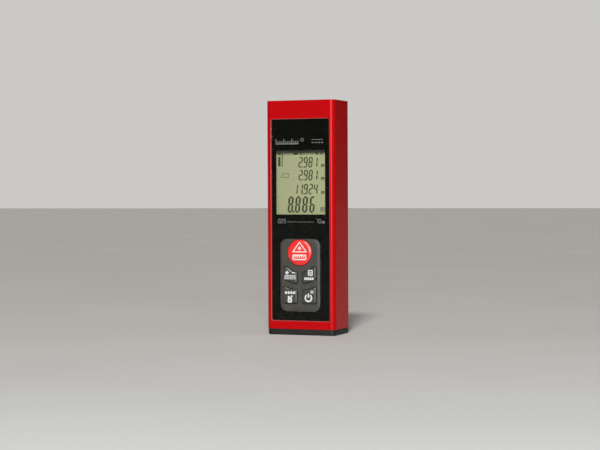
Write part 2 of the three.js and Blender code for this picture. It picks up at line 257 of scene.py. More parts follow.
def crowned(outline_at, near, far, slope, drop):
    """Rings of a slab with a flat middle, a gentle slope round it and a rounded rim."""
    stations = [(slope, 0), (slope * 0.93, drop * 0.04), (slope * 0.15, drop * 0.92)]
    stations += [(slope * 0.05, drop * 1.2), (0, drop * 1.7)]
    rings = [at_depth(outline_at(inset), near + fall) for inset, fall in stations]
    rings.append(at_depth(outline_at(0), far))
    return rings


def arc_below(radius, from_x, to_x):
    """Points of an arc about the measuring key's centre, on its lower side, with longer end spans."""
    end_span, steps = 2.2, 9
    span = math.copysign(end_span, to_x - from_x)
    start, end = from_x + span, to_x - span
    xs = [from_x] + [start + (end - start) * k / steps for k in range(steps + 1)] + [to_x]
    return [(x, MEASURE["z"] - math.sqrt(radius**2 - x**2)) for x in xs]


def measure_outline(inset, steps=72):
    return circle(0, MEASURE["z"], MEASURE["radius"] - inset, steps)


def key_outline(side, inset, near, far=None, peak=None):
    """A side key between arcs about the measuring key, or with a level lower edge."""
    corner = max(0.9 - inset, 0.2)
    inner = COLUMN["inner"] + inset
    outer = COLUMN["outer"] - inset
    top = arc_below(near + inset, peak or outer, inner)
    if far:
        bottom = arc_below(far - inset, inner, outer)
    else:
        bottom = [(inner, LOWER_KEYS["low"] + inset), (outer, LOWER_KEYS["low"] + inset)]
    if peak:
        top.insert(0, (outer, top[0][1]))
    corners = []
    for edge in (bottom, top):
        ends = (edge[0], edge[-1])
        corners += [(x * side, z, corner if (x, z) in ends else 0) for x, z in edge]
    return rounded(corners if side > 0 else corners[::-1], steps=5)


# --- Materials ------------------------------------------------------------------------------


def shader(name):
    material = bpy.data.materials.new(name)
    material.use_nodes = True
    return material, material.node_tree, material.node_tree.nodes["Principled BSDF"]


def grain(tree, scale, detail=3.0, stretch=(1, 1, 1)):
    """Noise that stays with the piece; scale counts features per metre."""
    place = tree.nodes.new("ShaderNodeTexCoord")
    squeeze = tree.nodes.new("ShaderNodeMapping")
    squeeze.inputs["Scale"].default_value = stretch
    noise = tree.nodes.new("ShaderNodeTexNoise")
    noise.inputs["Scale"].default_value = scale
    noise.inputs["Detail"].default_value = detail
    tree.links.new(place.outputs["Object"], squeeze.inputs["Vector"])
    tree.links.new(squeeze.outputs["Vector"], noise.inputs["Vector"])
    return noise.outputs["Fac"]


def spread(tree, value, low, high):
    """Maps noise, which lies about 0.5, to a range."""
    least, most = 0.3, 0.7
    ranged = tree.nodes.new("ShaderNodeMapRange")
    ranged.inputs["From Min"].default_value = least
    ranged.inputs["From Max"].default_value = most
    ranged.inputs["To Min"].default_value = low
    ranged.inputs["To Max"].default_value = high
    tree.links.new(value, ranged.inputs["Value"])
    return ranged.outputs["Result"]


def tinted(tree, factor, dark, light):
    mix = tree.nodes.new("ShaderNodeMix")
    mix.data_type = "RGBA"
    mix.inputs["A"].default_value = (*dark, 1)
    mix.inputs["B"].default_value = (*light, 1)
    tree.links.new(factor, mix.inputs["Factor"])
    return mix.outputs["Result"]


def raise_bumps(tree, principled, height, strength, distance):
    """Bumps of a height in millimetres."""
    bump = tree.nodes.new("ShaderNodeBump")
    bump.inputs["Strength"].default_value = strength
    bump.inputs["Distance"].default_value = distance * MM
    tree.links.new(height, bump.inputs["Height"])
    tree.links.new(bump.outputs["Normal"], principled.inputs["Normal"])


def surface(name, dark, light, rough, patch=180, fine=5000, bump=0.1, relief=0.02, **sockets):
    """Colour drifts in patches, roughness and bumps follow a fine grain."""
    material, tree, principled = shader(name)
    drift = spread(tree, grain(tree, patch), 0, 1)
    tree.links.new(tinted(tree, drift, dark, light), principled.inputs["Base Color"])
    texture = grain(tree, fine)
    tree.links.new(spread(tree, texture, *rough), principled.inputs["Roughness"])
    if bump:
        raise_bumps(tree, principled, texture, bump, relief)
    for socket, value in sockets.items():
        principled.inputs[socket.replace("_", " ")].default_value = value
    return material


def anodised(name, dark, light, rough):
    """Dyed, bead-blasted aluminium with faint lines along the extrusion."""
    material, tree, principled = shader(name)
    streaks = grain(tree, 2600, detail=2, stretch=(1, 1, 0.012))
    tree.links.new(tinted(tree, spread(tree, streaks, 0, 1), dark, light), principled.inputs["Base Color"])
    blast = grain(tree, 7000, detail=2)
    tree.links.new(spread(tree, blast, *rough), principled.inputs["Roughness"])
    raise_bumps(tree, principled, blast, strength=0.25, distance=0.01)
    principled.inputs["Metallic"].default_value = 0.15
    principled.inputs["Specular IOR Level"].default_value = 0.12
    return material


def pane(name, tint, gloss):
    """Thin and clear: what is behind shows through, and the faces mirror more at a slant."""
    material, tree, principled = shader(name)
    principled.inputs["Base Color"].default_value = (*tint, 1)
    dust = grain(tree, 900, detail=4)
    tree.links.new(spread(tree, dust, 0.07, 0.10), principled.inputs["Roughness"])
    principled.inputs["Metallic"].default_value = 1.0
    clear = tree.nodes.new("ShaderNodeBsdfTransparent")
    clear.inputs["Color"].default_value = (*tint, 1)
    slant = tree.nodes.new("ShaderNodeLayerWeight")
    steep = tree.nodes.new("ShaderNodeMath")
    steep.operation = "POWER"
    steep.inputs[1].default_value = 5.0
    mirror = tree.nodes.new("ShaderNodeMapRange")
    mirror.inputs["To Min"].default_value = gloss
    mix = tree.nodes.new("ShaderNodeMixShader")
    tree.links.new(slant.outputs["Facing"], steep.inputs[0])
    tree.links.new(steep.outputs["Value"], mirror.inputs["Value"])
    tree.links.new(mirror.outputs["Result"], mix.inputs["Fac"])
    tree.links.new(clear.outputs["BSDF"], mix.inputs[1])
    tree.links.new(principled.outputs["BSDF"], mix.inputs[2])
    output = tree.nodes["Material Output"]
    tree.links.new(mix.outputs["Shader"], output.inputs["Surface"])
    return material


def display_film(name):
    """Grey-green reflective panel, a little yellower to the right, with a soft sparkle."""
    material, tree, principled = shader(name)
    place = tree.nodes.new("ShaderNodeTexCoord")
    axes = tree.nodes.new("ShaderNodeSeparateXYZ")
    tree.links.new(place.outputs["Object"], axes.inputs["Vector"])
    across = tree.nodes.new("ShaderNodeMapRange")
    across.inputs["From Min"].default_value = -VIEW["half"] * MM
    across.inputs["From Max"].default_value = VIEW["half"] * MM
    tree.links.new(axes.outputs["X"], across.inputs["Value"])
    base = tinted(tree, across.outputs["Result"], (0.285, 0.278, 0.168), (0.300, 0.298, 0.168))
    tree.links.new(base, principled.inputs["Base Color"])
    sparkle = grain(tree, 6000, detail=2)
    tree.links.new(spread(tree, sparkle, 0.35, 0.5), principled.inputs["Roughness"])
    raise_bumps(tree, principled, sparkle, strength=0.1, distance=0.01)
    return material


RED = anodised("red_anodised", (0.37, 0.0010, 0.0024), (0.41, 0.0014, 0.0032), (0.27, 0.35))
# A paler, pinker red on the rounded edges and the window cut-out's chamfer: partly a machined edge, partly
# painted highlight standing in for the light lines that these edges catch.
RED_EDGE_HIGHLIGHT = anodised("red_machined_edge_highlight", (0.22, 0.052, 0.050), (0.26, 0.064, 0.062), (0.32, 0.42))
BLACK = surface("black_moulded", (0.010, 0.0095, 0.008), (0.016, 0.015, 0.013), (0.42, 0.58),
                fine=2600, bump=0.25, relief=0.03, Specular_IOR_Level=0.22)
CLEAR = pane("clear_window", (0.96, 0.97, 0.95), gloss=0.0)
PRINT = surface("black_print", (0.0035, 0.0036, 0.0030), (0.0050, 0.0050, 0.0042), (0.115, 0.135),
                fine=3000, bump=0, Specular_IOR_Level=0.16)
RUBBER = surface("keypad_rubber", (0.030, 0.028, 0.022), (0.040, 0.037, 0.030), (0.40, 0.56),
                 fine=3200, bump=0.2, relief=0.02)
GREY_KEY = surface("grey_key", (0.030, 0.029, 0.026), (0.040, 0.038, 0.034), (0.30, 0.42),
                   fine=3600, bump=0.12, relief=0.012)
RED_KEY = surface("red_key", (0.60, 0.016, 0.014), (0.66, 0.024, 0.020), (0.26, 0.36),
                  fine=3600, bump=0.08, relief=0.01)
LEGEND = surface("legend_white", (0.50, 0.50, 0.48), (0.58, 0.57, 0.55), (0.45, 0.6), fine=4000, bump=0.05)
DOT_PRINT = surface("dot_print", (0.27, 0.24, 0.22), (0.33, 0.30, 0.27), (0.4, 0.5), fine=4000, bump=0.05)
# Dark olive for a strip across the top of the display: painted shade, put where the display lies in shadow
# under the window's top edge.
DISPLAY_SHADE_STRIP = surface("display_shade_strip", (0.022, 0.024, 0.012), (0.030, 0.032, 0.017), (0.4, 0.55), bump=0)
GREY_PRINT = surface("grey_print", (0.10, 0.10, 0.095), (0.15, 0.15, 0.14), (0.4, 0.55),
                     fine=4000, bump=0.03)
DISPLAY = display_film("display_film")
SEGMENT = surface("display_segment", (0.030, 0.033, 0.012), (0.042, 0.045, 0.018), (0.3, 0.4), bump=0)
STEEL = surface("nickel_plate", (0.52, 0.51, 0.48), (0.62, 0.61, 0.58), (0.2, 0.34), Metallic=1.0)
BRASS = surface("turned_brass", (0.50, 0.36, 0.14), (0.60, 0.45, 0.19), (0.22, 0.36), Metallic=1.0)
BOARD = surface("solder_mask", (0.008, 0.06, 0.025), (0.014, 0.09, 0.04), (0.3, 0.42), patch=400)
WHITE = surface("light_guide", (0.74, 0.74, 0.70), (0.80, 0.80, 0.76), (0.35, 0.5))
RESIN = surface("chip_resin", (0.012, 0.012, 0.013), (0.02, 0.02, 0.022), (0.5, 0.65), fine=4000)
JACKET = surface("cell_jacket", (0.020, 0.12, 0.26), (0.028, 0.15, 0.31), (0.22, 0.34), Metallic=0.3)
SILVER_BAND = surface("cell_band", (0.50, 0.50, 0.50), (0.60, 0.60, 0.60), (0.25, 0.36), Metallic=0.9)
LENS = pane("coated_glass", (0.80, 0.86, 0.94), gloss=0.07)
FLOOR = surface("pale_floor", (0.50, 0.49, 0.47), (0.53, 0.52, 0.50), (0.6, 0.7), patch=6,
                fine=900, bump=0.05, Specular_IOR_Level=0.1)


# --- Case -----------------------------------------------------------------------------------


def section(inset=0.0):
    """The body's outline from above."""
    edge = HALF_WIDTH - inset
    corner = max(BODY_CORNER - inset, 0.6)
    return rectangle(-edge, FRONT + inset, edge, BACK - inset, corner, steps=12)


def make_sleeve():
    low, high = SLEEVE_LOW[2], SLEEVE_HIGH[2]
    rings = [at_height(section(), low), at_height(section(), high)]
    sleeve = make_piece("red_sleeve", rings, RED, replaces=["sleeve"])
    back_corner, below = 2.0, low - BEYOND
    corners = [(FRONT, below, 0), (BACK, below, 0), (BACK, high, back_corner), (FRONT, high, 0)]
    side = rounded(corners, steps=10)
    edge = HALF_WIDTH + BEYOND
    profile = make_piece("tool", [[(x, y, z) for y, z in side] for x in (-edge, edge)], None, body=None)
    carve(sleeve, profile, operation="INTERSECT")

    def opening(grow):
        half, corner = CUTOUT["half"] + grow, CUTOUT["corner"] + grow
        return rectangle(-half, CUTOUT["low"] - grow, half, CUTOUT["high"] + grow, corner)

    chamfer, ahead = 0.32, 0.1
    flare = [at_depth(opening(chamfer + ahead), -ahead), at_depth(opening(0), chamfer)]
    # The cut-out's chamfer takes the paler edge red from the cutting solid: partly machined edge, partly
    # painted highlight.
    carve(sleeve, make_piece("tool", flare, RED_EDGE_HIGHLIGHT, body=None))
    reach = DOOR_HIGH[0] + DOOR_OPENING
    door = rectangle(-reach, DOOR_FOOT - DOOR_OPENING, reach, DOOR_HIGH[2] + DOOR_OPENING, 0.6)
    whole = BACK - FRONT
    carve(
        sleeve,
        level_tool(section(WALL), low - BEYOND, high + BEYOND),
        front_tool(opening(0), -BEYOND, WALL + BEYOND),
        front_tool(door, whole - WALL - BEYOND, whole + BEYOND),
    )
    # The rounded edges take the same paler red: partly machined edge, partly painted highlight.
    soften(sleeve, 0.3, segments=2, angle=50, edge_material=RED_EDGE_HIGHLIGHT)


def make_bottom_cap():
    joint = SLEEVE_LOW[2]
    plug = WALL + 0.2
    stations = [(0.9, 0), (0.55, 0.12), (0.3, 0.4), (0.2, 0.75), (0.2, joint - 0.2), (0.3, joint - 0.02)]
    rings = [at_height(section(inset), z) for inset, z in stations]
    rings += [at_height(section(plug), joint), at_height(section(plug), CAP_TOP)]
    cap = make_piece("end_cap", rings, BLACK, replaces=["bottom_cap"])
    recess, recess_top = 1.9, 1.7
    centres = [middle_of(f"cap_screw_{i}")[0] for i in (1, 2)]
    carve(cap, *[level_tool(circle(x, MIDDLE, recess), -BEYOND, recess_top) for x in centres])
    soften(cap, 0.12, segments=2, angle=50)


def make_top_cap():
    inset, plate, skirt, ease = WALL + 0.1, 2.2, 1.5, 0.25
    low, high = TOP_HIGH[2] - plate, TOP_HIGH[2]
    stations = [(inset, TOP_LOW[2]), (inset, high - ease), (inset + ease, high)]
    rings = [at_height(section(i), z) for i, z in stations]
    cap = make_piece("optics_cap", rings, BLACK, replaces=["top_cap"])
    lens_y = depth(OPTICS_DEPTH)
    bores = []
    for x, narrow, wide in ((RECEIVER_X, 5.4, 6.1), (EMITTER_X, 2.6, 3.2)):
        bores.append(make_piece("tool", [
            at_height(circle(x, lens_y, narrow), low - 0.5),
            at_height(circle(x, lens_y, wide), high + 0.3),
        ], None, body=None))
    hollow = level_tool(section(inset + skirt), TOP_LOW[2] - BEYOND, low)
    carve(cap, hollow, *bores)
    soften(cap, 0.15, segments=2, angle=45)


def pad_outline(inset):
    low, high = PAD["low"] + inset, PAD["high"] - inset
    half = PAD["half"] - inset
    return rectangle(-half, low, half, high, PAD["corner"] - inset, steps=10)


def make_window():
    near, far = WINDOW_LOW[1] - FRONT, WINDOW_HIGH[1] - FRONT
    hole = pad_outline(-PAD_GAP)

    def outline(inset):
        edge = CUTOUT["half"] - WINDOW_GAP - inset
        corner = max(CUTOUT["corner"] - inset, 0.1)
        return rectangle(-edge, WINDOW_LOW[2] + inset, edge, WINDOW_HIGH[2] - inset, corner)

    rings = eased(outline, near, far, radius=0.06, steps=3)
    window = make_piece("clear_window", rings, CLEAR, replaces=["front_window"])
    carve(window, front_tool(hole, near - BEYOND, far + BEYOND))
    soften(window, 0.04, segments=2, angle=60)
    near, far = MASK_LOW[1] - FRONT, MASK_HIGH[1] - FRONT
    rings = eased(outline, near, far, radius=0.02, steps=2)
    mask = make_piece("printed_mask", rings, PRINT, replaces=["window_mask"])
    view = rectangle(-VIEW["half"], VIEW["low"], VIEW["half"], VIEW["high"], 0.3)
    carve(mask, *[front_tool(cut, near - BEYOND, far + BEYOND) for cut in (hole, view)])


# --- Keypad ---------------------------------------------------------------------------------

SIDE_KEYS = {
    "key_plus_minus": ("plus_minus_button", -1, UPPER_KEYS),
    "key_reference": ("reference_button", 1, UPPER_KEYS),
    "key_function": ("function_button", -1, {"near": LOWER_KEYS["near"]}),
    "key_power": ("power_button", 1, {"near": LOWER_KEYS["near"]}),
}
KEY_GAP = 0.25
KEY_FOOT = 2.4


def key_holes():
    """Cutting solids for the five keys' holes, right through the mat."""
    near, far = MAT_LOW[1] - FRONT, MAT_HIGH[1] - FRONT
    outlines = [measure_outline(-KEY_GAP, steps=64)]
    for _, side, shape in SIDE_KEYS.values():
        outlines.append(key_outline(side, -KEY_GAP, **shape))
    return [front_tool(outline, near - BEYOND, far + BEYOND) for outline in outlines]


def make_keypad():
    """The raised pad, and the thin lip round it that lies behind the window."""
    near, far = MAT_LOW[1] - FRONT, MAT_HIGH[1] - FRONT
    pad_foot, lip_near = 1.5, 0.95
    rings = crowned(pad_outline, near, pad_foot, slope=1.2, drop=0.22)
    mat = make_piece("keypad_rubber", rings, RUBBER, replaces=["keypad_mat"])
    carve(mat, *key_holes())
    soften(mat, 0.14, segments=3, angle=55)
    lip = rectangle(MAT_LOW[0], MAT_LOW[2], MAT_HIGH[0], MAT_HIGH[2], 1.0)
    flange = make_piece("keypad_lip", [at_depth(lip, lip_near), at_depth(lip, far)], RUBBER)
    carve(flange, *key_holes())


def make_keys():
    for node, (body, side, shape) in SIDE_KEYS.items():
        rings = crowned(lambda inset: key_outline(side, inset, **shape), front_of(node), KEY_FOOT,
                        slope=0.85, drop=0.36)
        key = make_piece(node + "_cap", rings, GREY_KEY, body, [node])
    rings = crowned(measure_outline, front_of("key_measure"), KEY_FOOT, slope=1.2, drop=0.42)
    key = make_piece("key_measure_cap", rings, RED_KEY, "measure_button", ["key_measure"])


# --- Printed marks and display segments -----------------------------------------------------

# How far marks stand in front of the face that they sit on.
PROUD = {"display": 0.08, "key": 0.04, "window": 0.03}


def print_marks(name, outlines, near, material, body="case", thickness=0.05):
    """Thin raised shapes on a front face, stepped slightly so that crossing ones don't coincide."""
    mesh = bmesh.new()
    rise, levels = 0.004, 6
    for index, outline in enumerate(outlines):
        step = rise * (index % levels)
        front = [mesh.verts.new(Vector(p) * MM) for p in at_depth(outline, near - step)]
        back = [mesh.verts.new(Vector(p) * MM) for p in at_depth(outline, near + thickness)]
        count = len(front)
        mesh.faces.new(front)
        mesh.faces.new(back[::-1])
        for i in range(count):
            j = (i + 1) % count
            mesh.faces.new((front[j], front[i], back[i], back[j]))
    piece = object_from(mesh, name, material, body)
    for face in piece.data.polygons:
        face.use_smooth = False
    return piece


def stroke(start, end, width):
    """A bar between two points."""
    a, b = Vector(start), Vector(end)
    side = (b - a).orthogonal().normalized() * width / 2
    return [tuple(a + side), tuple(a - side), tuple(b - side), tuple(b + side)]


def arc_band(x, z, radius, width, start=0.0, end=360.0, steps=32):
    """Quads along an arc, in degrees anticlockwise from +X."""
    bands = []
    for k in range(steps):
        angles = [math.radians(start + (end - start) * (k + i) / steps) for i in (0, 1)]
        corners = [(angles[0], -1), (angles[1], -1), (angles[1], 1), (angles[0], 1)]
        bands.append([
            (x + (radius + s * width / 2) * math.cos(a), z + (radius + s * width / 2) * math.sin(a))
            for a, s in corners
        ])
    return bands


def loop(points, width):
    """Bars along a closed run of points."""
    return [stroke(a, b, width) for a, b in zip(points, points[1:] + points[:1])]


SEGMENTS = {
    "0": "abcdef", "1": "bc", "2": "abged", "3": "abgcd", "4": "fgbc",
    "5": "afgcd", "6": "afgedc", "7": "abc", "8": "abcdefg", "9": "abcdfg",
}


def seven_segment(digit, left, low, width, height, weight):
    """The lit bars of one digit, leaning to the right."""
    slant = 0.09
    gap = 0.1 * weight
    mid = height / 2
    inset = weight / 2
    x0, x1 = inset, width - inset
    spans = {
        "a": ((x0, height - inset), (x1, height - inset)),
        "g": ((x0, mid), (x1, mid)),
        "d": ((x0, inset), (x1, inset)),
        "f": ((x0, mid), (x0, height - inset)),
        "b": ((x1, mid), (x1, height - inset)),
        "e": ((x0, inset), (x0, mid)),
        "c": ((x1, inset), (x1, mid)),
    }
    bars = []
    for name in SEGMENTS[digit]:
        (u0, v0), (u1, v1) = spans[name]
        run = Vector((u1 - u0, v1 - v0)).normalized()
        side = Vector((-run.y, run.x)) * inset
        a = Vector((u0, v0)) + run * gap
        b = Vector((u1, v1)) - run * gap
        point = run * inset
        shape = [a, a + point - side, b - point - side, b, b - point + side, a + point + side]
        bars.append([(left + u + slant * v, low + v) for u, v in shape])
    return bars


def dot(x, z, size):
    return rectangle(x - size / 2, z, x + size / 2, z + size)


SMALL_DIGITS = {"width": 2.15, "height": 5.4, "weight": 0.6, "pitch": 2.72, "right": 8.35}
BIG_DIGITS = {"width": 2.85, "height": 8.4, "weight": 0.95, "pitch": 3.95, "right": 6.65}


def reading(text, low, style):
    """A number set flush right, with a small point after a digit."""
    bars = []
    digits = text.replace(".", "")
    left = style["right"] - style["width"] - style["pitch"] * (len(digits) - 1)
    for i, digit in enumerate(digits):
        x = left + i * style["pitch"]
        bars += seven_segment(digit, x, low, style["width"], style["height"], style["weight"])
    point = text.index(".") * style["pitch"] + left - (style["pitch"] - style["width"]) / 2
    bars.append(dot(point, low, style["weight"]))
    return bars


def metre_sign(x, low, width, height):
    """Three uprights under a bar."""
    weight, overhang = 0.42, 0.2
    top = low + height
    uprights = [x + width * k / 2 for k in range(3)]
    bars = [stroke((u, low), (u, top), weight) for u in uprights]
    bars.append(stroke((x - overhang, top), (x + width + overhang, top), weight))
    return bars


def make_display():
    near = front_of("lcd_front_glass") - PROUD["display"]
    bars = []
    for text, low in (("2.981", 85.7), ("2.981", 79.1), ("11.924", 72.0)):
        bars += reading(text, low, SMALL_DIGITS)
        bars += metre_sign(10.7, low + 0.2, 1.4, 1.2)
    bars += reading("8.886", 62.6, BIG_DIGITS)
    bars += metre_sign(10.3, 63.2, 1.8, 1.9)
    bars.append(rectangle(-13.0, 86.4, -11.8, 91.2))
    bars.append(stroke((-10.95, 86.2), (-10.8, 93.6), 0.45))
    area = [(-11.4, 80.7), (-7.6, 80.7), (-6.8, 82.6), (-10.6, 82.6)]
    bars += loop(area, 0.2)
    for x, width in ((-12.3, 1.2), (-3.3, 2.4), (-0.6, 0.9), (8.3, 1.1), (10.8, 0.9)):
        bars.append(rectangle(x - width / 2, 92.3, x + width / 2, 93.6))
    marks = print_marks("display_segments", bars, near, SEGMENT)
    # The lip across the top of the display is painted shade: a dark olive strip where the display lies in
    # shadow under the window's top edge.
    lip, lip_near, lip_far = rectangle(-14.2, 93.1, 14.2, 95.6, 0.2), 1.78, 1.88
    make_piece("display_shade_strip", [at_depth(lip, lip_near), at_depth(lip, lip_far)], DISPLAY_SHADE_STRIP)


def make_window_print():
    """Plain marks above the display and a distance scale below it."""
    near = front_of("front_window") - PROUD["window"]
    bars = []
    foot, weight = 97.8, 0.42
    for k in range(12):
        height = 2.6 if k % 4 == 0 else 1.5
        x = -13.2 + k * 1.1
        bars.append(stroke((x, foot), (x, foot + height), weight))
    bars.append(stroke((-13.4, foot), (-0.9, foot), weight))
    bars += arc_band(1.2, 99.8, 0.75, 0.3, steps=16)
    for k in range(4):
        bars.append(stroke((6.4 + k * 1.7, 98.3), (7.5 + k * 1.7, 98.3), 0.5))
    bars.append(stroke((6.4, 99.8), (12.6, 99.8), 0.3))
    print_marks("window_marks", bars, near, GREY_PRINT, thickness=PROUD["window"])
    foot, dashes = 57.2, 57.9
    scale = [stroke((-7.0 + 0.7 * k, dashes), (-6.6 + 0.7 * k, dashes), 0.35) for k in range(21)]
    for text, left in (("005", -12.4), ("70", 8.4)):
        for k, digit in enumerate(text):
            scale += seven_segment(digit, left + k * 1.6, foot, width=1.25, height=2.3, weight=0.3)
    scale.append(dot(-10.9, foot, 0.35))
    scale += metre_sign(12.0, foot, 1.1, 1.0)
    print_marks("range_marks", scale, near, GREY_PRINT, thickness=PROUD["window"])


def make_measure_legend():
    """A triangle round a rayed dot, above a small ruler."""
    near = front_of("key_measure") - PROUD["key"]
    corners = [(-3.5, 42.7), (3.9, 42.7), (0.2, 47.6)]
    focus = Vector((0.2, 44.5))
    marks = loop(corners, 0.5) + [circle(x, z, 0.25, 12) for x, z in corners]
    marks.append(circle(*focus, 0.7, 20))
    for x, z in circle(0, 0, 1, 8):
        way = Vector((x, z))
        marks.append(stroke(focus + way * 0.85, focus + way * 1.25, 0.22))
    left, low, right, high = -3.4, 38.8, 3.6, 41.0
    marks += loop([(left, low), (right, low), (right, high), (left, high)], 0.6)
    marks += [stroke((x, high - 0.1), (x, low + 0.9), 0.6) for x in (-2.3, -1.1, 0.1, 1.3, 2.5)]
    print_marks("measure_legend", marks, near, LEGEND, "measure_button")


def make_side_legends():
    near = front_of("key_plus_minus") - PROUD["key"]
    plus = [stroke((-7.7, 32.0), (-5.8, 32.0), 0.7), stroke((-6.75, 31.05), (-6.75, 32.95), 0.7)]
    minus = [stroke((-4.1, 32.0), (-2.4, 32.0), 0.55)]
    comb = [stroke((-8.1, 30.6), (-2.1, 30.6), 0.3)]
    comb += [stroke((-7.8 + 1.08 * k, 30.2), (-7.8 + 1.08 * k, 28.6), 0.5) for k in range(6)]
    print_marks("plus_minus_legend", plus + minus + comb, near, LEGEND, "plus_minus_button")

    page = loop([(5.0, 30.8), (7.1, 30.8), (7.1, 33.3), (5.0, 33.3)], 0.5)
    page += [stroke((5.3, z), (6.8, z), 0.35) for z in (31.6, 32.4)]
    blocks = [rectangle(2.8 + 1.05 * k, 28.4, 3.6 + 1.05 * k, 29.7) for k in range(5)]
    print_marks("reference_legend", page + blocks, near, LEGEND, "reference_button")

    blocks = [rectangle(-7.9 + 1.5 * k, 21.2, -6.8 + 1.5 * k, 22.4) for k in range(4)]
    tank = loop([(-6.0, 17.1), (-4.4, 17.1), (-4.4, 18.7), (-6.0, 18.7)], 0.85)
    tank += [stroke((-4.9, 18.9), (-3.9, 20.3), 0.75), rectangle(-6.3, 19.0, -5.3, 20.1)]
    print_marks("function_legend", blocks + tank, near, LEGEND, "function_button")

    ring = arc_band(4.95, 19.2, 1.7, 0.78, start=122, end=418, steps=40)
    ring.append(stroke((4.95, 19.4), (4.95, 21.5), 0.7))
    print_marks("power_legend", ring, near, LEGEND, "power_button")
    print_marks("power_spot", [circle(6.9, 22.3, 0.95, 24)], near, DOT_PRINT, "power_button")


# --- Back, power and optics -----------------------------------------------------------------


def make_door():
    tongue_reach, tongue_width, tongue_top = 1.0, 2.8, 10
    inside, outside = DOOR_LOW[1] + tongue_reach, DOOR_HIGH[1]
    high, half = DOOR_HIGH[2], DOOR_HIGH[0]
    centre = (inside + outside) / 2
    radius = (outside - inside) / 2
    steps = 12
    lower = []
    for k in range(steps + 1):
        angle = math.pi * k / steps
        lower.append((centre - radius * math.cos(angle), DOOR_FOOT + radius - radius * math.sin(angle)))
    profile = lower + [(outside, high), (inside, high)]
    door = make_piece("door_panel", [[(x, y, z) for y, z in profile] for x in (-half, half)], BLACK,
                      "door", ["battery_door"])
    tongues = []
    for left in (-11.2, 8.4):
        ring = rectangle(left, DOOR_LOW[1], left + tongue_width, inside + 0.3)
        tongues.append(level_tool(ring, DOOR_LOW[2], tongue_top))
    carve(door, *tongues, operation="UNION")
    half_groove, groove, sunk = 6, 0.9, 0.4
    back = outside - FRONT
    for z in (50, 52, 54, 56):
        outline = rectangle(-half_groove, z, half_groove, z + groove, 0.4, steps=5)
        carve(door, front_tool(outline, back - sunk, back + BEYOND))
    soften(door, 0.18, segments=3, angle=45)


def turned_piece(name, profile, x, y, material, replaces=(), steps=64):
    """A solid of revolution about a vertical line; the profile is radius and height."""
    rings = [at_height(circle(x, y, radius, steps), z) for radius, z in profile]
    return make_piece(name, rings, material, replaces=replaces)


def make_cells():
    """Two cells, one each way up; the profiles are radius and height above a cell's flat end."""
    jacket = [(4.7, 0), (4.95, 0.1), (5.15, 0.35), (5.25, 0.8), (5.25, 34)]
    band = [(5.25, 34.02), (5.25, 42.9), (5.1, 43.4), (4.7, 43.7), (4.6, 43.5), (2.1, 43.5),
            (1.9, 43.7), (1.9, 44.3), (1.7, 44.5)]
    for side, node in ((-1, "battery_left"), (1, "battery_right")):
        low, high = box_mm(node)
        x, y = middle_of(node)
        foot, way = (low[2], 1) if side < 0 else (high[2], -1)
        lower, upper = ([(r, foot + way * z) for r, z in profile] for profile in (jacket, band))
        cell = turned_piece(node + "_jacket", lower, x, y, JACKET, replaces=[node])
        turned_piece(node + "_band", upper, x, y, SILVER_BAND)


def make_springs():
    """Coils that narrow from the contact plate towards the cell."""
    turns, steps, sides = 4.5, 150, 10
    wide, narrow, wire = 3.6, 2.4, 0.33
    wire_section = circle(0, 0, wire, sides)
    for side, node in ((-1, "spring_left"), (1, "spring_right")):
        low, high = box_mm(node)
        length = high[2] - low[2] - 2 * wire
        rings = []
        for k in range(steps + 1):
            t = k / steps
            angle = t * turns * 2 * math.pi
            radius = wide + (narrow - wide) * t
            out = Vector((math.cos(angle), math.sin(angle), 0))
            z = low[2] + wire + t * length if side < 0 else high[2] - wire - t * length
            centre = Vector((CELL_X * side, depth(CELL_DEPTH), z)) + out * radius
            rings.append([centre + out * u + Vector((0, 0, v)) for u, v in wire_section])
        spring = make_piece(node + "_coil", rings, STEEL, replaces=[node])


def make_optics():
    y = depth(OPTICS_DEPTH)
    low, high = box_mm("receiver_lens")
    crown, radius, steps = 1.6, 5.8, 12
    sphere = (radius**2 + crown**2) / (2 * crown)
    dome = []
    for k in range(steps):
        r = radius * (1 - k / steps)
        dome.append((r, high[2] - sphere + math.sqrt(sphere**2 - r**2)))
    lens = turned_piece("receiver_glass", [(radius, low[2])] + dome, RECEIVER_X, y, LENS,
                        replaces=["receiver_lens"])
    low, high = box_mm("emitter_window")
    profile = [(3.2, low[2]), (3.4, low[2] + 0.15), (3.4, high[2] - 0.15), (3.25, high[2])]
    glass = turned_piece("emitter_glass", profile, EMITTER_X, y, LENS, replaces=["emitter_window"])
    low, high = box_mm("lens_ring")
    ring = turned_piece("lens_collar", [(6.4, low[2]), (6.4, high[2] - 0.2), (6.2, high[2])],
                        RECEIVER_X, y, BLACK, replaces=["lens_ring"])
    seat, mouth, rim = 5.95, 5.1, 0.5
    carve(ring, level_tool(circle(RECEIVER_X, y, seat), low[2] - BEYOND, high[2] - rim),
          level_tool(circle(RECEIVER_X, y, mouth), high[2] - BEYOND, high[2] + BEYOND))
    soften(ring, 0.1, segments=2, angle=45)


def make_cap_screws():
    for index in (1, 2):
        node = f"cap_screw_{index}"
        low, high = box_mm(node)
        x = middle_of(node)[0]
        profile = [(1.35, low[2]), (1.55, low[2] + 0.08), (1.6, low[2] + 0.3), (1.6, 1.6), (0.7, 1.65),
                   (0.7, high[2])]
        screw = turned_piece(node + "_head", profile, x, MIDDLE, STEEL, replaces=[node], steps=32)
        arm, thin, sunk = 1.0, 0.17, 0.6
        bars = [rectangle(x - u, MIDDLE - v, x + u, MIDDLE + v) for u, v in ((arm, thin), (thin, arm))]
        carve(screw, *[level_tool(bar, -BEYOND, low[2] + sunk) for bar in bars])


